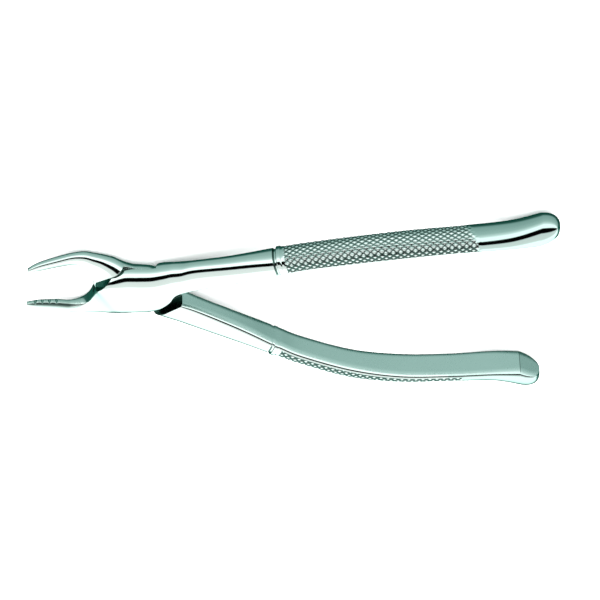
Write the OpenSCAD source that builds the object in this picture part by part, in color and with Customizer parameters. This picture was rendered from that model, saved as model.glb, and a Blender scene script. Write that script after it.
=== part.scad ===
// Extraction forceps, upper universal pattern: two forged halves that lap over each other
// at a flat joint, and the screw that they turn on.
// Millimetres. +X points to the beak tips, +Z along the joint's axis, and the origin is
// the middle of the joint's lower flat face. The handles stand half open.

/* [Joint] */
// Thickness of the joint
joint_t = 10; // [9:0.5:11]
// Distance from the screw's axis to the shoulders on the beak side
beak_shoulder = 10.8; // [10.6:0.1:11]
// Distance from the screw's axis to the shoulders on the handle side
handle_shoulder = 10.3; // [10:0.1:10.5]
// Distance from the screw's axis to the walls that face those shoulders
handle_wall = 11.6; // [11.4:0.1:11.7]
// Angle of the shoulders to the long axis when closed
shoulder_angle = 45; // [44:0.5:46]
// Angle that each half stands open from the long axis at rest
rest_angle = 8; // [7.5:0.5:8.5]
// Gap left at the shoulders when closed, and at their corners
shoulder_gap = 0.12; // [0.1:0.01:0.2]
// Gap between the two lapped plates
lap_gap = 0.06; // [0.04:0.01:0.1]

/* [Screw] */
// Radius of the screw's shank
shank_r = 2.75; // [2.5:0.05:3]
// Radius of the screw's head
head_r = 4; // [3.8:0.1:4.2]
// Depth of the screw's head
head_h = 2.2; // [2:0.1:2.4]
// How far the head lies below the joint's lower face
head_recess = 0.3; // [0.2:0.05:0.4]
// Width of the screwdriver slot
slot_w = 1; // [0.8:0.1:1.2]
// Depth of the screwdriver slot
slot_h = 0.9; // [0.7:0.1:1.1]
// Running clearance round the shank and the head
run_gap = 0.06; // [0.04:0.01:0.1]

/* [Beaks] */
// Number of grooves across the inner face of each tip
teeth = 4; // [0:1:4]
// Distance from one groove to the next
tooth_pitch = 2.4; // [2.2:0.1:2.5]
// Depth of the grooves
tooth_depth = 0.5; // [0.3:0.05:0.6]

/* [Handles] */
// Depth of the groove at the front of the grip
ring_depth = 0.45; // [0.2:0.05:0.6]
// Height of the ring behind the groove
ring_height = 0.3; // [0.1:0.05:0.4]
// Length over which the end of a handle rounds off
end_round = 7; // [6:0.5:8]

/* [Hidden] */
mid_z = joint_t / 2;
mesh_steps = 5;
arc_steps = 6;
far = 60;
corner_back = 7;
corner_ahead = 9.4;
end_slope = 0.28;
end_power = 0.65;
function flat(list) = [for (item = list) for (x = item) x];

// Stations of one half from the tip of its beak to the end of its handle: the edge on the
// -Y side (x, y), the edge on the +Y side (x, y), the height of the middle, half the width
// along Z, and how deep the rounding of the -Y side and of the +Y side reaches.
beak_stations = [
    [36.1, 7.3, 36.1, 8.2, 5.7, 0.8, 0.3, 0.5],
    [34.6, 7.2, 34.7, 9.2, 5.35, 1.15, 0.9, 0.8],
    [31.5, 7.25, 31.7, 10.4, 4.6, 1.45, 1.7, 1.1],
    [26, 8.1, 26.2, 11.8, 3.5, 1.7, 2, 1.3],
    [21.5, 8.8, 21.4, 13.1, 3, 1.8, 1.9, 1.6],
    [18, 8.2, 17.4, 13.4, 2.65, 2.2, 1.3, 2],
    [15.5, 6.2, 14.2, 12.9, 2.8, 2.6, 0.8, 2.5],
    [14.2, 3.4, 10.8, 12.3, 3.1, 2.95, 0.5, 2.9],
];
joint_stations = [
    [13.5, 0.4, 7.2, 11.5, 3.7, 3.6, 0.7, 3.4],
    [12.2, -3.3, 3.6, 10.1, 4.6, 4.5, 1.4, 4.4],
    [9.4, -6.9, 0.4, 9.2, 5, 5, 3, 4.8],
    [4.5, -8.8, -2.2, 9.1, 5, 5, 4.6, 4.8],
    [-0.8, -9.1, -5.2, 8.7, 5, 5, 4.8, 4.4],
    [-5, -9.4, -9.2, 6.6, 5, 5, 4.7, 3],
    [-8.6, -10.4, -11.7, 2.6, 5.1, 4.95, 4.5, 1.4],
];
neck_stations = [
    [-11.3, -11.3, -12.8, -0.5, 5.5, 4.6, 4.4, 0.8],
    [-14.4, -12.1, -14.9, -2.3, 5.9, 4.4, 4.2, 0.9],
    [-18.7, -13.7, -20.6, -4.3, 6.55, 4.05, 4.2, 1.3],
    [-28.9, -16.9, -31.5, -8.5, 7.8, 4.25, 4.1, 1.5],
    [-36.85, -19.5, -39.2, -11.9, 8.5, 4.6, 4, 1.5],
    [-42.9, -21.5, -45.2, -14.8, 9, 5, 3.8, 1.4],
];
grip_stations = [
    [-47.1, -23, -49.4, -16.7, 9.4, 5.15, 3.8, 1.4],
    [-55.1, -25.8, -57.1, -19.8, 10.2, 5.25, 3.8, 1.4],
    [-72.3, -30.7, -73.9, -24.4, 11.3, 5.35, 4, 1.4],
    [-89.8, -33, -90.3, -27.3, 10.6, 5.7, 3.8, 1.3],
    [-106.9, -33.8, -107.1, -28.5, 8.8, 5.7, 3.6, 1.2],
    [-122.2, -34.9, -121.7, -28.9, 6.9, 5.9, 4.4, 1.2],
    [-132.6, -38.2, -131.5, -29.4, 5.9, 5.9, 5.8, 1.6],
];
stations = concat(beak_stations, joint_stations, neck_stations, grip_stations);

// The groove and the ring in front of the grip: how far along the stretch between the neck
// and the grip each step comes, and how far the outer side moves out there.
ring_steps = [[0, 0], [0.3, 0], [0.36, -ring_depth], [0.58, -ring_depth], [0.65, ring_height],
    [0.9, ring_height], [0.96, 0]];
ring_from = len(stations) - len(grip_stations) - 1;

// Catmull-Rom curve from station i of the list s to the next one, at t from 0 to 1.
function blend4(a, b, c, d, t) =
    0.5 * ((2 * b) + (c - a) * t + (2 * a - 5 * b + 4 * c - d) * t * t
    + (3 * b - a - 3 * c + d) * t * t * t);
function station(s, i, t) =
    blend4(s[max(i - 1, 0)], s[i], s[i + 1], s[min(i + 2, len(s) - 1)], t);

// Moves a station's outer edge, on the -Y side of a handle, and its flanks outwards.
function grown(s, out) =
    let (v = [s[0] - s[2], s[1] - s[3]] / norm([s[0] - s[2], s[1] - s[3]]))
    [s[0] + v[0] * out, s[1] + v[1] * out, s[2], s[3], s[4], s[5] + out / 2, s[6], s[7]];

// A rounded side of a section, from below to above: its depth and the section's half width.
function side(depth, half) =
    let (high = min(half - 0.15, 2 * depth))
    [for (e = [-1, 1]) for (k = [0:arc_steps])
        let (a = e < 0 ? -90 + 90 * k / arc_steps : 90 * k / arc_steps)
        [depth - depth * cos(a), e * (half - high) + high * sin(a)]];

// One closed section of a station.
function section(s) =
    let (
        n = [s[0], s[1]], p = [s[2], s[3]], width = norm(p - n), v = (p - n) / width,
        near = side(s[6], s[5]), off = side(s[7], s[5]), last = len(near) - 1,
        loop = concat(near, [for (k = [last:-1:0]) [width - off[k][0], off[k][1]]])
    )
    [for (q = loop) [n[0] + v[0] * q[0], n[1] + v[1] * q[0], s[4] + q[1]]];

// Stations that round off the end after the last station of s, over a length. The inner
// face falls away from a crease, and the outer side comes round to meet it.
function end_cap(s, length) =
    let (
        n = len(s) - 1, a = s[n], b = s[n - 1], width = norm([a[2] - a[0], a[3] - a[1]]),
        v = [a[2] - a[0], a[3] - a[1]] / width,
        way = [a[0] + a[2] - b[0] - b[2], a[1] + a[3] - b[1] - b[3]], step = way / norm(way)
    )
    [for (t = [20, 38, 54, 67, 77, 84])
        let (
            ahead = length * sin(t), fall = end_slope * ahead,
            p = [a[2], a[3]] + step * ahead - v * fall,
            thin = (width - fall) * pow(cos(t), end_power), n = p - v * thin, less = thin / width
        )
        [n[0], n[1], p[0], p[1], a[4], a[5] * pow(cos(t), 0.8), a[6] * less, a[7] * less]];

// Skins a row of sections of equal length into one solid.
module skin(rings) {
    n = len(rings[0]);
    last = len(rings) - 1;
    sides = flat([for (i = [0:last - 1]) for (k = [0:n - 1])
        let (a = i * n + k, b = i * n + (k + 1) % n)
        [[a, a + n, b], [b, a + n, b + n]]]);
    polyhedron(flat(rings), concat(sides,
        [[for (k = [0:n - 1]) k]], [[for (k = [n - 1:-1:0]) last * n + k]]));
}

module forging() {
    rows = flat([for (i = [0:len(stations) - 2])
        i == ring_from
        ? [for (r = ring_steps) section(grown(station(stations, i, r[0]), r[1]))]
        : [for (k = [0:mesh_steps - 1]) section(station(stations, i, k / mesh_steps))]]);
    skin(concat(rows, [section(stations[len(stations) - 1])],
        [for (s = end_cap(stations, end_round)) section(s)]));
}

// Grooves across the inner face of a beak's tip, cut with the corner of a square bar.
module serrations() {
    for (k = [0:1:teeth - 1]) {
        x = beak_stations[0][0] - 2.9 - k * tooth_pitch;
        y = lookup(x, [for (b = beak_stations) if (b[0] > 20) [b[0], b[1]]]);
        translate([x, y + tooth_depth, 0]) rotate([0, 0, -135]) cube([2, 2, joint_t]);
    }
}

// What is cut away beyond a shoulder at a distance from the screw's axis, so that the
// corner there keeps within the radius r and the rest is straight.
module corner_cut(edge, r) {
    translate([0, 0, -1]) linear_extrude(joint_t + 2) difference() {
        translate([-corner_back, -2 * r]) square([corner_back + corner_ahead, 2 * r]);
        intersection() {
            circle(r = r, $fn = 96);
            translate([-far, -edge]) square([2 * far, far]);
        }
        translate([0, -edge]) square([far, edge]);
    }
}

// One half as it lies at rest, without its bore: beak to +Y, handle to -Y. The other
// half's plate passes through the layer that starts at notch_z.
module half_blank(notch_z) {
    difference() {
        forging();
        serrations();
        translate([0, 0, notch_z]) rotate([0, 0, rest_angle - shoulder_angle])
            translate([-far, -handle_wall, 0])
                cube([2 * far, handle_wall + beak_shoulder + shoulder_gap, joint_t]);
        rotate([0, 0, shoulder_angle + rest_angle])
            corner_cut(beak_shoulder, beak_shoulder);
        rotate([0, 0, shoulder_angle + rest_angle + 180])
            corner_cut(handle_shoulder, handle_wall - shoulder_gap);
    }
}

module threaded_half() {
    color("silver") difference() {
        half_blank(mid_z + lap_gap / 2 - joint_t);
        translate([0, 0, -1]) cylinder(r = shank_r, h = joint_t + 2, $fn = 64);
    }
}

module plain_half() {
    color("silver") difference() {
        mirror([0, 1, 0]) half_blank(mid_z - lap_gap / 2);
        translate([0, 0, -1]) cylinder(r = shank_r + run_gap, h = joint_t + 2, $fn = 64);
        translate([0, 0, -1])
            cylinder(r = head_r + run_gap, h = 1 + head_recess + head_h + run_gap, $fn = 64);
    }
}

module pivot_screw() {
    color("gainsboro") difference() {
        translate([0, 0, head_recess]) {
            cylinder(r = head_r, h = head_h, $fn = 64);
            cylinder(r = shank_r, h = joint_t - head_recess, $fn = 64);
        }
        translate([-head_r - 1, -slot_w / 2, head_recess - 1])
            cube([2 * head_r + 2, slot_w, 1 + slot_h]);
    }
}

plain_half();
threaded_half();
pivot_screw();
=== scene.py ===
"""Extraction forceps: the visual model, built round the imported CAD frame.

Lengths in the tables are millimetres in the frame's axes: +X to the beak tips, +Z along
the joint's axis. Each half is one skin through its stations, cut as the forging is cut.
"""
import math

import bmesh
import bpy
import numpy as np
from mathutils import Matrix, Vector


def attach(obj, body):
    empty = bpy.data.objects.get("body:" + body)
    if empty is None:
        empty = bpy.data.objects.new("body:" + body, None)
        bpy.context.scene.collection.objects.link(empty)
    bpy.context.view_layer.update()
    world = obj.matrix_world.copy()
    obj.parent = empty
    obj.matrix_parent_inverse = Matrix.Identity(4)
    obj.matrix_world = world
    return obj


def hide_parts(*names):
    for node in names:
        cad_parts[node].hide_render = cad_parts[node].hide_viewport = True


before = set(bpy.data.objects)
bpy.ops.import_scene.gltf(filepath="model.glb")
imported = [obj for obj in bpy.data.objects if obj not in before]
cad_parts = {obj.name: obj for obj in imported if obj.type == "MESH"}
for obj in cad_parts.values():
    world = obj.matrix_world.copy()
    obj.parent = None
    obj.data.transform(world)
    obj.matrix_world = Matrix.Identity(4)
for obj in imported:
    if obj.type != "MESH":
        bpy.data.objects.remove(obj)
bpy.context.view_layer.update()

MM = 0.001

# ---------------------------------------------------------------- shape of one half
# Joint
JOINT_T = 10.0
MID_Z = JOINT_T / 2
BEAK_SHOULDER = 10.8
HANDLE_SHOULDER = 10.3
HANDLE_WALL = 11.6
SHOULDER_ANGLE = 45.0
REST_ANGLE = 8.0
SHOULDER_GAP = 0.12
LAP_GAP = 0.06
CORNER_BACK = 7.0
CORNER_AHEAD = 9.4
# The cut walls: how far from the axis they lie, and how near to upright they are
WALL_FROM, WALL_TO = 6.0, 20.0
UPRIGHT = 0.02
# Screw
SHANK_R = 2.75
HEAD_R = 4.0
HEAD_H = 2.2
HEAD_RECESS = 0.3
RUN_GAP = 0.06
# Beaks: the serrations are square notches turned by 45 degrees, along the edge that the
# stations ahead of TEETH_AHEAD_OF give
TEETH = 4
TOOTH_PITCH = 2.4
TOOTH_DEPTH = 0.5
TOOTH_START = 2.9
TOOTH_HALF = 1.4
TEETH_AHEAD_OF = 20.0
# The gripping side: where it lies and fades out, and how much painted shade darkens its middle and
# its rim
GRIPPING_FROM, GRIPPING_TO = 18.0, 37.5
GRIPPING_FADE = 4.0
MIDDLE_PAINTED_SHADE, RIM_PAINTED_SHADE = 0.42, 0.6
RIM_FROM, RIM_FROM_FADE = 0.4, 0.25
RIM_TO, RIM_TO_FADE = 0.97, 0.12
# Ring, groove and end of a handle
HANDLE_FROM = -13.0
RING_DEPTH = 0.45
RING_HEIGHT = 0.3
GROOVE_FROM, GROOVE_TO = -44.15, -44.7
END_FROM = -106.5
END_ROUND = 7.0
END_POWER = 0.65
END_FLANK_POWER = 0.8
END_SLOPE = 0.28
# Width of the painted shade along the crease at the handle's end
CREASE_SHADE_WIDTH = 0.17
# Knurling: where it lies, how it fades in and out, its grooves, and how much painted shade
# darkens them, more on the flanks. Where it is fainter than FAINT, the steel keeps its polish.
KNURL_FROM, KNURL_TO = -47.5, -110.5
KNURL_START_FADE, KNURL_END_FADE = 0.6, 2.5
KNURL_HALF_HEIGHT = 6
KNURL_PITCH = 1.49
KNURL_ANGLE = math.radians(38)
KNURL_DEPTH = 0.34
GROOVE_SHARE = 0.8
FLANK_FROM, FLANK_FADE, FLANK_SHADE_GAIN = 0.85, 0.1, 0.8
FAINT = 0.6

# Edge on the -Y side (x, y), edge on the +Y side (x, y), height of the middle, half the
# width along Z, depth of the rounding on the -Y side and on the +Y side.
BEAK = [
    (36.1, 7.3, 36.1, 8.2, 5.7, 0.8, 0.3, 0.5),
    (34.6, 7.2, 34.7, 9.2, 5.35, 1.15, 0.9, 0.8),
    (31.5, 7.25, 31.7, 10.4, 4.6, 1.45, 1.7, 1.1),
    (26, 8.1, 26.2, 11.8, 3.5, 1.7, 2, 1.3),
    (21.5, 8.8, 21.4, 13.1, 3, 1.8, 1.9, 1.6),
    (18, 8.2, 17.4, 13.4, 2.65, 2.2, 1.3, 2),
    (15.5, 6.2, 14.2, 12.9, 2.8, 2.6, 0.8, 2.5),
    (14.2, 3.4, 10.8, 12.3, 3.1, 2.95, 0.5, 2.9),
]
JOINT = [
    (13.5, 0.4, 7.2, 11.5, 3.7, 3.6, 0.7, 3.4),
    (12.2, -3.3, 3.6, 10.1, 4.6, 4.5, 1.4, 4.4),
    (9.4, -6.9, 0.4, 9.2, 5, 5, 3, 4.8),
    (4.5, -8.8, -2.2, 9.1, 5, 5, 4.6, 4.8),
    (-0.8, -9.1, -5.2, 8.7, 5, 5, 4.8, 4.4),
    (-5, -9.4, -9.2, 6.6, 5, 5, 4.7, 3),
    (-8.6, -10.4, -11.7, 2.6, 5.1, 4.95, 4.5, 1.4),
]
NECK = [
    (-11.3, -11.3, -12.8, -0.5, 5.5, 4.6, 4.4, 0.8),
    (-14.4, -12.1, -14.9, -2.3, 5.9, 4.4, 4.2, 0.9),
    (-18.7, -13.7, -20.6, -4.3, 6.55, 4.05, 4.2, 1.3),
    (-28.9, -16.9, -31.5, -8.5, 7.8, 4.25, 4.1, 1.5),
    (-36.85, -19.5, -39.2, -11.9, 8.5, 4.6, 4, 1.5),
    (-42.9, -21.5, -45.2, -14.8, 9, 5, 3.8, 1.4),
]
GRIP = [
    (-47.1, -23, -49.4, -16.7, 9.4, 5.15, 3.8, 1.4),
    (-55.1, -25.8, -57.1, -19.8, 10.2, 5.25, 3.8, 1.4),
    (-72.3, -30.7, -73.9, -24.4, 11.3, 5.35, 4, 1.4),
    (-89.8, -33, -90.3, -27.3, 10.6, 5.7, 3.8, 1.3),
    (-106.9, -33.8, -107.1, -28.5, 8.8, 5.7, 3.6, 1.2),
    (-122.2, -34.9, -121.7, -28.9, 6.9, 5.9, 4.4, 1.2),
    (-132.6, -38.2, -131.5, -29.4, 5.9, 5.9, 5.8, 1.6),
]
STATIONS = np.array(BEAK + JOINT + NECK + GRIP, float)
# How far between the neck and the grip each step of the groove and the ring comes, and
# how far the outer side moves out there.
RING_STEPS = [
    (0, 0), (0.15, 0), (0.3, 0), (0.34, -0.85), (0.37, -1), (0.47, -1), (0.57, -1),
    (0.6, -0.85), (0.64, 0.8), (0.68, 1), (0.78, 1), (0.88, 1), (0.92, 0.7), (0.96, 0),
]
RING_AFTER = len(STATIONS) - len(GRIP) - 1

# Density of the surface
ROW_STEP = 0.55
KNURL_ROW_STEP = 0.2
ARC_POINTS = 34
FLAT_POINTS = (0.05, 0.2, 0.35, 0.5, 0.65, 0.8, 0.95)
LEAST_FLANK = 0.15
CREASE_ROWS = (0.1, 0.2, 0.35)
END_TURNS = list(np.linspace(7, 86, 18))
FLAT = len(FLAT_POINTS)
SIDE_POINTS = 2 * ARC_POINTS + FLAT
INNER_SIDE = SIDE_POINTS + FLAT
SATIN_ARC = ARC_POINTS // 2
SATIN_FACES = range(INNER_SIDE + SATIN_ARC, INNER_SIDE + SIDE_POINTS - SATIN_ARC - 1)

# Finishes, by their number among a half's materials
POLISHED, SATIN, KNURLED, GRIPPING, CUT_PAINTED_SHADE, END_PAINTED_SHADE = range(6)
# Edges that turn more than this are corners
CREASE_ANGLE = math.radians(16)
KNURLED_CREASE_ANGLE = math.radians(70)


def station(i, t):
    """Catmull-Rom curve through the stations, at t of the way from i to the next."""
    last = len(STATIONS) - 1
    a, b, c, d = (STATIONS[min(max(i + k, 0), last)] for k in (-1, 0, 1, 2))
    return 0.5 * (2 * b + (c - a) * t + (2 * a - 5 * b + 4 * c - d) * t * t
                  + (3 * b - a - 3 * c + d) * t ** 3)


def grown(s, out):
    """The station with its outer edge and its flanks moved outwards."""
    s = s.copy()
    v = s[0:2] - s[2:4]
    s[0:2] += v / np.linalg.norm(v) * out
    s[5] += out / 2
    return s


def ring_rows():
    """Stations of the groove and the ring between the neck and the grip."""
    rows = []
    for t, out in RING_STEPS:
        height = RING_HEIGHT if out > 0 else RING_DEPTH
        rows.append(grown(station(RING_AFTER, t), out * height))
    return rows


def end_rows():
    """Stations that round off the handle's end. The inner side slants away on a facet."""
    end, before = STATIONS[-1], STATIONS[-2]
    way = end[0:2] + end[2:4] - before[0:2] - before[2:4]
    way /= np.linalg.norm(way)
    width = np.linalg.norm(end[2:4] - end[0:2])
    v = (end[2:4] - end[0:2]) / width
    crease = [math.degrees(math.asin(d / END_ROUND)) for d in CREASE_ROWS]
    rows = []
    for t in np.radians(crease + END_TURNS):
        s = end.copy()
        ahead = END_ROUND * math.sin(t)
        fall = END_SLOPE * ahead
        thin = (width - fall) * math.cos(t) ** END_POWER
        s[2:4] = end[2:4] + way * ahead - v * fall
        s[0:2] = s[2:4] - v * thin
        s[5] *= math.cos(t) ** END_FLANK_POWER
        s[6:8] *= thin / width
        rows.append(s)
    return rows


def all_rows():
    """Stations at the density that the surface needs, from the tip to the handle's end."""
    rows = []
    for i in range(len(STATIONS) - 1):
        if i == RING_AFTER:
            rows += ring_rows()
            continue
        a, b = STATIONS[i], STATIONS[i + 1]
        length = np.linalg.norm((a[0:2] + a[2:4] - b[0:2] - b[2:4]) / 2)
        in_grip = min(a[0], b[0]) < KNURL_FROM and max(a[0], b[0]) > KNURL_TO
        count = max(3, round(length / (KNURL_ROW_STEP if in_grip else ROW_STEP)))
        shares = [k / count for k in range(count)]
        if i == len(STATIONS) - 2:
            shares += [1 - d / length for d in CREASE_ROWS[::-1]]
        rows += [station(i, t) for t in shares]
    return rows + [STATIONS[-1]] + end_rows()


def with_flat(before, after):
    """The points of one stretch, and the few on the flat between it and the next."""
    (q0, z0), (q1, z1) = before[-1], after[0]
    return before + [(q0 + (q1 - q0) * t, z0 + (z1 - z0) * t) for t in FLAT_POINTS]


def side(depth, half):
    """A rounded side of a section from below to above: depth inwards and height."""
    high = min(half - LEAST_FLANK, 2 * depth)
    arcs = []
    for e in (-1, 1):
        for k in range(ARC_POINTS):
            a = math.pi / 2 * (k / (ARC_POINTS - 1) - (e < 0))
            arcs.append((depth - depth * math.cos(a), e * (half - high) + high * math.sin(a)))
    return with_flat(arcs[:ARC_POINTS], arcs[ARC_POINTS:]) + arcs[ARC_POINTS:]


def section(s):
    """Points of one section, from below on the -Y side round to below on the +Y side."""
    n, p = s[0:2], s[2:4]
    width = np.linalg.norm(p - n)
    v = (p - n) / width
    near = side(s[6], s[5])
    off = [(width - q, z) for q, z in reversed(side(s[7], s[5]))]
    loop = with_flat(near, off) + with_flat(off, near)
    return [(n[0] + v[0] * q, n[1] + v[1] * q, s[4] + z) for q, z in loop]


# ---------------------------------------------------------------- knurling and marks
def rise(value, start, length):
    """0 up to the start, and 1 from the length beyond it."""
    return np.clip((value - start) / length, 0, 1)


def vee(value):
    """Rows of V grooves at the knurl's pitch: 0 at the bottom of each, 1 on the land."""
    phase = np.abs((value / KNURL_PITCH) % 1.0 - 0.5) * 2
    return np.clip(phase / GROOVE_SHARE, 0, 1)


def column(rows, index):
    """One value of every station, as a column."""
    return np.array([s[index] for s in rows])[:, None]


def knurl_strength(rows, rings):
    """How deep the knurling is at each point: it fades out along a slant at its end."""
    x = column(rows, 0)
    height = (rings[:, :, 2] - column(rows, 4)) / KNURL_HALF_HEIGHT
    start = np.clip((KNURL_FROM - x) / KNURL_START_FADE, 0, 1)
    end = np.clip((x - KNURL_TO + KNURL_END_FADE * height) / KNURL_END_FADE, 0, 1)
    return start * end


def outward(rings):
    """Unit normals of the skin at its points."""
    along = np.gradient(rings, axis=0)
    across = np.roll(rings, -1, 1) - np.roll(rings, 1, 1)
    normal = np.cross(along, across)
    normal /= np.linalg.norm(normal, axis=2, keepdims=True) + 1e-12
    centre = rings.mean(axis=1, keepdims=True)
    return normal * np.sign(((rings - centre) * normal).sum(2).mean())


def knurled(rows, rings, travel):
    """The rings with two crossing rows of grooves all round but the inner side, how much
    painted shade darkens each point, and how strong the knurling is there."""
    rings = np.roll(rings, FLAT, axis=1)
    outside = SIDE_POINTS + 2 * FLAT
    normal = outward(rings)
    around = np.linalg.norm(np.diff(rings[:, :outside], axis=1), axis=2)
    arc = np.concatenate([np.zeros((len(rows), 1)), np.cumsum(around, axis=1)], axis=1)
    arc -= arc[:, -1:] / 2
    c, s = math.cos(KNURL_ANGLE), math.sin(KNURL_ANGLE)
    strength = knurl_strength(rows, rings)
    strength[:, outside:] = 0
    depth = np.zeros(rings.shape[:2])
    depth[:, :outside] = 1 - np.minimum(vee(travel * s + arc * c), vee(travel * s - arc * c))
    depth *= strength
    height = np.abs(rings[:, :, 2] - column(rows, 4)) / column(rows, 5)
    # Painted shade: the grooves are marked dark, and more so on the flanks.
    mark = np.clip(depth * (1 + FLANK_SHADE_GAIN * rise(height, FLANK_FROM, FLANK_FADE)), 0, 1)
    rings = rings - normal * (depth * KNURL_DEPTH)[:, :, None]
    return [np.roll(values, -FLAT, axis=1) for values in (rings, mark, strength)]


def add_marks(mark, rows, rings, travel):
    """Painted shade: a dark line along the inner side's crease, and a darkening of the beak's
    gripping side, strongest towards its rims.
    """
    crease = next(i for i, s in enumerate(rows) if np.array_equal(s, STATIONS[-1]))
    # Painted shade along the crease.
    crease_shade = np.exp(-((travel - travel[crease]) / CREASE_SHADE_WIDTH) ** 2)
    mark[:, INNER_SIDE:INNER_SIDE + SIDE_POINTS] = crease_shade
    for i, s in enumerate(rows):
        if s[0] > GRIPPING_FROM:
            height = np.abs(rings[i, :SIDE_POINTS, 2] - s[4]) / s[5]
            near_end = min(s[0] - GRIPPING_FROM, GRIPPING_TO - s[0])
            gripping_shade_fade = np.clip(near_end / GRIPPING_FADE, 0, 1)
            rim = rise(height, RIM_FROM, RIM_FROM_FADE)
            rim = rim * np.clip((RIM_TO - height) / RIM_TO_FADE, 0, 1)
            # Painted shade: a little in the middle, and more along the rims.
            mark[i, :SIDE_POINTS] = gripping_shade_fade * (MIDDLE_PAINTED_SHADE + RIM_PAINTED_SHADE * rim)


def finish_of(x, k, strength):
    """The finish of a face by its place along the half and round the section."""
    if x < HANDLE_FROM and k in SATIN_FACES:
        return SATIN
    if strength > FAINT:
        return KNURLED
    # Painted shade: the groove's faces get the near-black steel.
    if k < INNER_SIDE and GROOVE_FROM > x > GROOVE_TO:
        return CUT_PAINTED_SHADE
    if k < SIDE_POINTS - 1 and x > GRIPPING_FROM:
        return GRIPPING
    # Painted shade: the handle's end gets a darker copy of the polished steel.
    return END_PAINTED_SHADE if x < END_FROM else POLISHED


def forging_mesh(name):
    """The closed skin of one half, with the knurling on the outside of the grip."""
    rows = all_rows()
    rings = np.array([section(s) for s in rows])
    steps = np.linalg.norm(np.diff(rings.mean(axis=1), axis=0), axis=1)
    travel = np.concatenate([[0], np.cumsum(steps)])[:, None]
    rings, mark, strength = knurled(rows, rings, travel)
    add_marks(mark, rows, rings, travel)
    count, around = rings.shape[:2]
    bm = bmesh.new()
    # The groove attribute: how much painted shade darkens each point.
    groove = bm.verts.layers.float.new("groove")
    grid = []
    for i in range(count):
        grid.append([bm.verts.new(Vector(p) * MM) for p in rings[i]])
        for k, v in enumerate(grid[i]):
            v[groove] = mark[i, k]
    for i in range(count - 1):
        for k in range(around):
            k2 = (k + 1) % around
            f = bm.faces.new((grid[i][k], grid[i][k2], grid[i + 1][k2], grid[i + 1][k]))
            f.smooth = True
            f.material_index = finish_of(rows[i][0], k, strength[i, k])
    bm.faces.new(grid[0][::-1])
    bm.faces.new(grid[-1])
    return mesh_from(bm, name)


def mesh_from(bm, name):
    """A mesh of the closed surface, with its faces turned outwards."""
    bmesh.ops.recalc_face_normals(bm, faces=bm.faces)
    mesh = bpy.data.meshes.new(name)
    bm.to_mesh(mesh)
    bm.free()
    return mesh


def finish_faces(mesh):
    """The shoulders' walls are painted near black, as painted shade. Real corners stay crisp,
    and the rest of the surface is shaded smooth."""
    bm = bmesh.new()
    bm.from_mesh(mesh)
    for f in bm.faces:
        middle = f.calc_center_median() / MM
        off_axis = math.hypot(middle.x, middle.y)
        if abs(f.normal.z) < UPRIGHT and WALL_FROM < off_axis < WALL_TO and not f.smooth:
            f.material_index = CUT_PAINTED_SHADE
    for e in bm.edges:
        if len(e.link_faces) == 2:
            in_knurl = all(f.material_index == KNURLED for f in e.link_faces)
            limit = KNURLED_CREASE_ANGLE if in_knurl else CREASE_ANGLE
            e.smooth = e.calc_face_angle() < limit
    bm.to_mesh(mesh)
    bm.free()


# ---------------------------------------------------------------- cutters
FAR = 60.0
BELOW, ABOVE = -3.0, 13.0
LAYER_MARGIN = 5.0
BORE_POINTS = 64
CORNER_POINTS = 24


def prism(outline, low, high):
    """A closed prism over a flat outline (x, y), between two heights."""
    bm = bmesh.new()
    rings = [[bm.verts.new((x * MM, y * MM, z * MM)) for x, y in outline] for z in (low, high)]
    n = len(outline)
    for k in range(n):
        k2 = (k + 1) % n
        bm.faces.new((rings[0][k], rings[0][k2], rings[1][k2], rings[1][k]))
    bm.faces.new(rings[0][::-1])
    bm.faces.new(rings[1])
    return bpy.data.objects.new("cutter", mesh_from(bm, "cutter"))


def turned(points, degrees):
    """The flat points turned about the joint's axis."""
    c, s = math.cos(math.radians(degrees)), math.sin(math.radians(degrees))
    return [(x * c - y * s, x * s + y * c) for x, y in points]


def arc_points(r, count, start=0.0, end=360.0):
    """Points on a circle about the joint's axis, or on an arc of it."""
    full = end - start >= 360
    angles = np.radians(np.linspace(start, end, count, endpoint=not full))
    return [(r * math.cos(a), r * math.sin(a)) for a in angles]


def corner_outline(edge, r):
    """What is cut away beyond a shoulder: outside the radius r, and past the straight edge."""
    first = -180 + math.degrees(math.acos(CORNER_BACK / r))
    last = -180 + math.degrees(math.asin(edge / r))
    arc = arc_points(r, CORNER_POINTS, first, min(last, -90))
    return arc + [(CORNER_AHEAD, -edge), (CORNER_AHEAD, -2 * r), (-CORNER_BACK, -2 * r)]


def tooth_cutters():
    """The notches across the beak's inner side."""
    inner = sorted((b[0], b[1]) for b in BEAK if b[0] > TEETH_AHEAD_OF)
    h = TOOTH_HALF
    cutters = []
    for k in range(TEETH):
        x = BEAK[0][0] - TOOTH_START - k * TOOTH_PITCH
        y = float(np.interp(x, *zip(*inner))) + TOOTH_DEPTH
        notch = [(x, y), (x - h, y - h), (x, y - 2 * h), (x + h, y - h)]
        cutters.append(prism(notch, 0, JOINT_T))
    return cutters


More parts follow.
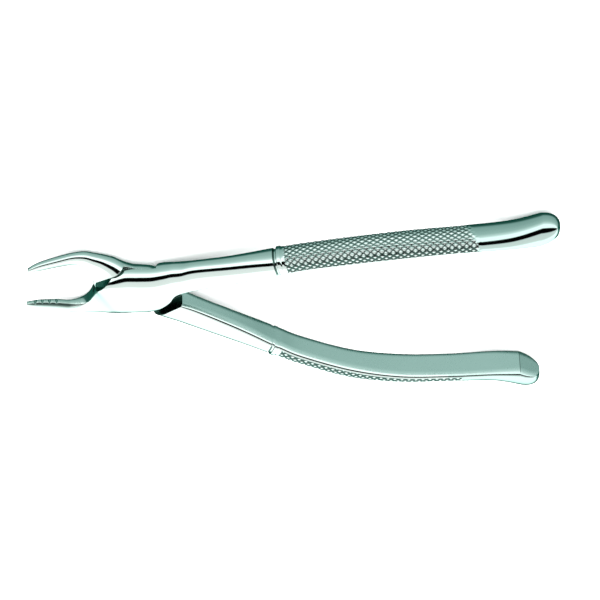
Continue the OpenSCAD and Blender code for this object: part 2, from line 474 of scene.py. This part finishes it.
def half_cutters(plain):
    """Cutters of one half as it lies at rest with its beak to +Y."""
    ahead = BEAK_SHOULDER + SHOULDER_GAP
    strip = [(-FAR, -HANDLE_WALL), (FAR, -HANDLE_WALL), (FAR, ahead), (-FAR, ahead)]
    if plain:
        low, high = MID_Z - LAP_GAP / 2, JOINT_T + LAYER_MARGIN
    else:
        low, high = -LAYER_MARGIN, MID_Z + LAP_GAP / 2
    turn = SHOULDER_ANGLE + REST_ANGLE
    beak_corner = corner_outline(BEAK_SHOULDER, BEAK_SHOULDER)
    handle_corner = corner_outline(HANDLE_SHOULDER, HANDLE_WALL - SHOULDER_GAP)
    bore_r = SHANK_R + (RUN_GAP if plain else 0)
    cutters = [
        prism(turned(strip, REST_ANGLE - SHOULDER_ANGLE), low, high),
        prism(turned(beak_corner, turn), BELOW, ABOVE),
        prism(turned(handle_corner, turn + 180), BELOW, ABOVE),
        prism(arc_points(bore_r, BORE_POINTS), BELOW, ABOVE),
    ]
    if plain:
        seat = arc_points(HEAD_R + RUN_GAP, BORE_POINTS)
        cutters.append(prism(seat, BELOW, HEAD_RECESS + HEAD_H + RUN_GAP))
    return cutters + tooth_cutters()


def cut_away(obj, cutters):
    """The object's mesh with the cutters taken out of it. The cutters are used up."""
    for c in cutters:
        bpy.context.scene.collection.objects.link(c)
        mod = obj.modifiers.new("cut", "BOOLEAN")
        mod.operation = "DIFFERENCE"
        mod.solver = "MANIFOLD"
        mod.object = c
    bpy.context.view_layer.update()
    depsgraph = bpy.context.evaluated_depsgraph_get()
    mesh = bpy.data.meshes.new_from_object(obj.evaluated_get(depsgraph))
    obj.modifiers.clear()
    for c in cutters:
        bpy.data.objects.remove(c, do_unlink=True)
    return mesh


def build_half(node, body, plain, materials):
    """One half as a piece that stands for its CAD node. The plain half is mirrored."""
    mesh = forging_mesh(node + "_forging")
    obj = bpy.data.objects.new(node + "_forging", mesh)
    bpy.context.scene.collection.objects.link(obj)
    for m in materials:
        mesh.materials.append(m)
    obj.data = cut_away(obj, half_cutters(plain))
    obj.data.name = node + "_forging"
    if plain:
        obj.data.transform(Matrix.Diagonal((1, -1, 1, 1)))
        obj.data.flip_normals()
    finish_faces(obj.data)
    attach(obj, body)
    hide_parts(node)


# ---------------------------------------------------------------- materials
EDGE_TINT = (0.2, 0.45, 0.4, 1)
# Near-black colour of painted shade in the knurl's grooves, along the crease and on the gripping
# side.
PAINTED_SHADE_COLOR = (0.015, 0.05, 0.04)
BROAD_SCALE = 70.0
SHADES = (0.94, 1.05)
MARKED_FULLY = 0.95
NOISE_FROM, NOISE_TO = 0.15, 0.4
RELIEF_HEIGHT = 0.00001
SOFT_EDGE = 0.0002
SOFT_SAMPLES = 4


def new_material(name, color, roughness, metallic):
    """A material with a Principled shader: itself, its nodes, its links and the shader."""
    m = bpy.data.materials.new(name)
    m.use_nodes = True
    shader = m.node_tree.nodes["Principled BSDF"]
    shader.inputs["Base Color"].default_value = (*color, 1)
    shader.inputs["Metallic"].default_value = metallic
    shader.inputs["Roughness"].default_value = roughness
    return m, m.node_tree.nodes, m.node_tree.links, shader


def linked(nodes, links, kind, settings, *sources):
    """A node with its settings, its first inputs linked to the sources."""
    node = nodes.new(kind)
    for key, value in settings.items():
        if key in node.inputs:
            node.inputs[key].default_value = value
        else:
            setattr(node, key, value)
    for k, source in enumerate(sources):
        links.new(source, node.inputs[k])
    return node


def mixed(nodes, links, factor, a, b):
    """A colour between a and b, each of them a colour or a socket."""
    node = nodes.new("ShaderNodeMix")
    node.data_type = "RGBA"
    links.new(factor, node.inputs["Factor"])
    for key, value in (("A", a), ("B", b)):
        if isinstance(value, tuple):
            node.inputs[key].default_value = (*value, 1)
        else:
            links.new(value, node.inputs[key])
    return node.outputs["Result"]


def steel(name, color, rough, grain, bump, stretch=(1, 1, 1), painted_shade_range=None, soft=0.0):
    """Steel with uneven polish: roughness between two values, and fine grain. Where
    painted_shade_range is given, marks above its first number darken the steel towards
    near-black painted shade, up to its second."""
    m, nodes, links, shader = new_material(name, color, rough[0], 1.0)
    shader.inputs["Specular Tint"].default_value = EDGE_TINT
    coords = nodes.new("ShaderNodeTexCoord").outputs["Object"]
    stretched = linked(nodes, links, "ShaderNodeMapping", {"Scale": stretch}, coords)
    fine = linked(nodes, links, "ShaderNodeTexNoise", {"Scale": grain, "Detail": 4.0},
                  stretched.outputs[0])
    broad = linked(nodes, links, "ShaderNodeTexNoise", {"Scale": BROAD_SCALE, "Detail": 3.0},
                   coords)
    both = linked(nodes, links, "ShaderNodeMath", {"operation": "MULTIPLY"},
                  fine.outputs["Fac"], broad.outputs["Fac"])
    uneven = linked(nodes, links, "ShaderNodeMapRange",
                    {"From Min": NOISE_FROM, "From Max": NOISE_TO, "To Min": rough[0],
                     "To Max": rough[1]},
                    both.outputs[0])
    links.new(uneven.outputs[0], shader.inputs["Roughness"])
    dark, light = (tuple(share * c for c in color) for share in SHADES)
    surface = mixed(nodes, links, broad.outputs["Fac"], dark, light)
    if painted_shade_range:
        # Painted shade, by the groove attribute.
        mark = linked(nodes, links, "ShaderNodeAttribute", {"attribute_name": "groove"})
        shade = linked(nodes, links, "ShaderNodeMapRange",
                       {"From Min": painted_shade_range[0], "From Max": MARKED_FULLY, "To Min": 0.0,
                        "To Max": painted_shade_range[1]},
                       mark.outputs["Fac"])
        surface = mixed(nodes, links, shade.outputs[0], surface, PAINTED_SHADE_COLOR)
    links.new(surface, shader.inputs["Base Color"])
    relief = linked(nodes, links, "ShaderNodeBump", {"Strength": bump, "Distance": RELIEF_HEIGHT})
    links.new(fine.outputs["Fac"], relief.inputs["Height"])
    if soft:
        rounded = linked(nodes, links, "ShaderNodeBevel", {"samples": SOFT_SAMPLES, "Radius": soft})
        links.new(rounded.outputs[0], relief.inputs["Normal"])
    links.new(relief.outputs["Normal"], shader.inputs["Normal"])
    return m


def half_materials():
    """The finishes of a half, in the order of their numbers above."""
    return [
        steel("polished_steel", (0.47, 0.57, 0.54), (0.04, 0.09), grain=900, bump=0.15,
              soft=SOFT_EDGE),
        steel("satin_steel", (0.50, 0.62, 0.59), (0.26, 0.36), grain=2600, bump=0.1,
              stretch=(1, 1, 0.3), painted_shade_range=(0.35, 0.85)),
        steel("knurled_steel", (0.58, 0.69, 0.66), (0.22, 0.34), grain=1500, bump=0.2,
              painted_shade_range=(0.25, 0.95)),
        steel("gripping_steel", (0.42, 0.55, 0.51), (0.28, 0.4), grain=2200, bump=0.3,
              painted_shade_range=(0.35, 0.85)),
        # Near-black steel: painted shade on the shoulders' walls and in the groove.
        steel("cut_painted_shade", (0.07, 0.13, 0.11), (0.2, 0.32), grain=1200, bump=0.2),
        # Painted shade: a darker copy of the polished steel.
        steel("end_painted_shade", (0.36, 0.48, 0.45), (0.06, 0.12), grain=900, bump=0.15,
              soft=SOFT_EDGE),
    ]


def finish_screw():
    """The CAD screw keeps its mesh and gets a steel of its own."""
    screw = bpy.data.objects["pivot_screw"]
    screw.data.materials.clear()
    screw.data.materials.append(
        steel("screw_steel", (0.48, 0.58, 0.55), (0.10, 0.18), grain=1800, bump=0.3,
              stretch=(1, 0.1, 1)))


# ---------------------------------------------------------------- floor and light
FLOOR_SIZE = 6.0
FLOOR_DROP = 0.0002
FLOOR_GREY = (0.8, 0.8, 0.8)
FLOOR_ROUGHNESS = 0.9
BACKDROP_GREY = (0.9, 0.9, 0.9, 1)
FILL_ENERGY = 6.0
FILL_SPREAD = math.radians(80)
FILL_TILT = math.radians(25)
# The studio that the steel mirrors: tone by the angle about the X axis, from the front
# horizon at 0 over the top at 90 to the back, and below the horizon with a minus sign.
# Long edges along the handles so reflect as long lines.
TONES = [
    (-180, (2.4, 2.4, 2.4)), (-176, (1.5, 1.6, 1.55)), (-170, (0.30, 0.55, 0.50)),
    (-135, (0.06, 0.25, 0.20)), (-100, (0.03, 0.14, 0.11)),
    (-75, (0.05, 0.18, 0.15)), (-62, (0.50, 0.70, 0.66)), (-45, (0.60, 0.80, 0.76)),
    (-20, (0.80, 1.00, 0.96)), (-4, (1.4, 1.5, 1.5)), (4, (2.3, 2.3, 2.3)),
    (27, (2.3, 2.3, 2.3)), (30.5, (0, 0, 0)), (60.5, (0, 0, 0)), (66, (1.45, 1.4, 1.4)),
    (110, (1.6, 1.5, 1.5)), (121, (2.5, 2.5, 2.5)), (174, (2.5, 2.5, 2.5)),
    (180, (2.4, 2.4, 2.4)),
]
BRIGHTEST = max(max(tone) for _, tone in TONES)


def make_floor():
    """A plain pale floor, just under the part, which the steel doesn't mirror."""
    mesh = bpy.data.meshes.new("floor")
    bm = bmesh.new()
    bmesh.ops.create_grid(bm, x_segments=1, y_segments=1, size=FLOOR_SIZE)
    bm.to_mesh(mesh)
    bm.free()
    floor = bpy.data.objects.new("floor", mesh)
    floor.location = (0, 0, -FLOOR_DROP)
    floor.visible_glossy = False
    bpy.context.scene.collection.objects.link(floor)
    mesh.materials.append(new_material("floor", FLOOR_GREY, FLOOR_ROUGHNESS, 0.0)[0])


def make_studio():
    """The world: the tones for the steel and the floor, and a plain backdrop to the camera."""
    world = bpy.data.worlds.new("studio")
    world.use_nodes = True
    bpy.context.scene.world = world
    nodes, links = world.node_tree.nodes, world.node_tree.links
    nodes.clear()
    way = nodes.new("ShaderNodeTexCoord").outputs["Generated"]
    split = linked(nodes, links, "ShaderNodeSeparateXYZ", {}, way)
    front = linked(nodes, links, "ShaderNodeMath", {"operation": "MULTIPLY"}, split.outputs["Y"])
    front.inputs[1].default_value = -1
    angle = linked(nodes, links, "ShaderNodeMath", {"operation": "ARCTAN2"},
                   split.outputs["Z"], front.outputs[0])
    share = linked(nodes, links, "ShaderNodeMapRange",
                   {"From Min": -math.pi, "From Max": math.pi}, angle.outputs[0])
    ramp = linked(nodes, links, "ShaderNodeValToRGB", {}, share.outputs[0])
    stops = ramp.color_ramp.elements
    for _ in range(len(TONES) - 2):
        stops.new(0.5)
    for stop, (degrees, tone) in zip(stops, TONES):
        stop.position = (degrees + 180) / 360
        stop.color = (*(c / BRIGHTEST for c in tone), 1)
    mirrored_sky = linked(nodes, links, "ShaderNodeBackground", {"Strength": BRIGHTEST},
                          ramp.outputs[0])
    backdrop = linked(nodes, links, "ShaderNodeBackground", {"Color": BACKDROP_GREY})
    seen = nodes.new("ShaderNodeLightPath").outputs["Is Camera Ray"]
    both = linked(nodes, links, "ShaderNodeMixShader", {}, seen, mirrored_sky.outputs[0],
                  backdrop.outputs[0])
    linked(nodes, links, "ShaderNodeOutputWorld", {}, both.outputs[0])


def make_fill():
    """A broad soft light from the front, for the floor alone."""
    fill = bpy.data.objects.new("fill", bpy.data.lights.new("fill", "SUN"))
    fill.data.energy = FILL_ENERGY
    fill.data.angle = FILL_SPREAD
    fill.rotation_euler = (FILL_TILT, 0, 0)
    fill.visible_glossy = False
    bpy.context.scene.collection.objects.link(fill)


# ---------------------------------------------------------------- camera
# Seen from the -Y side and above, rolled half a turn so that +X is to the left.
AZIMUTH, ELEVATION, ROLL = (math.radians(degrees) for degrees in (5.0, 45.0, 180 - 2.13))
DISTANCE = 1.5
VIEW_WIDTH = 0.2
SENSOR_WIDTH = 36
CLIP_END = 20
# Where the joint's axis stands in the frame, as shares of its width and its height
PIVOT_AT = (0.2258, 0.4805)


def make_camera():
    """The camera, placed so that the joint's middle stands at PIVOT_AT."""
    forward = Vector((-math.sin(AZIMUTH) * math.cos(ELEVATION),
                      math.cos(AZIMUTH) * math.cos(ELEVATION), -math.sin(ELEVATION)))
    level = Vector((math.cos(AZIMUTH), math.sin(AZIMUTH), 0))
    upright = level.cross(forward)
    right = math.cos(ROLL) * level + math.sin(ROLL) * upright
    up = -math.sin(ROLL) * level + math.cos(ROLL) * upright
    target = Vector((0, 0, MID_Z * MM))
    place = (target - forward * DISTANCE - right * (PIVOT_AT[0] - 0.5) * VIEW_WIDTH
             - up * (0.5 - PIVOT_AT[1]) * VIEW_WIDTH)
    data = bpy.data.cameras.new("camera")
    data.sensor_width = SENSOR_WIDTH
    data.lens = SENSOR_WIDTH * DISTANCE / VIEW_WIDTH
    data.clip_end = CLIP_END
    camera = bpy.data.objects.new("camera", data)
    facing = Matrix((right, up, -forward)).transposed().to_4x4()
    camera.matrix_world = Matrix.Translation(place) @ facing
    bpy.context.scene.collection.objects.link(camera)
    bpy.context.scene.camera = camera


materials = half_materials()
build_half("plain_half", "plain", True, materials)
build_half("threaded_half", "threaded", False, materials)
finish_screw()
make_floor()
make_studio()
make_fill()
make_camera()
bpy.context.scene.view_settings.view_transform = "Standard"
bpy.context.scene.view_settings.look = "None"
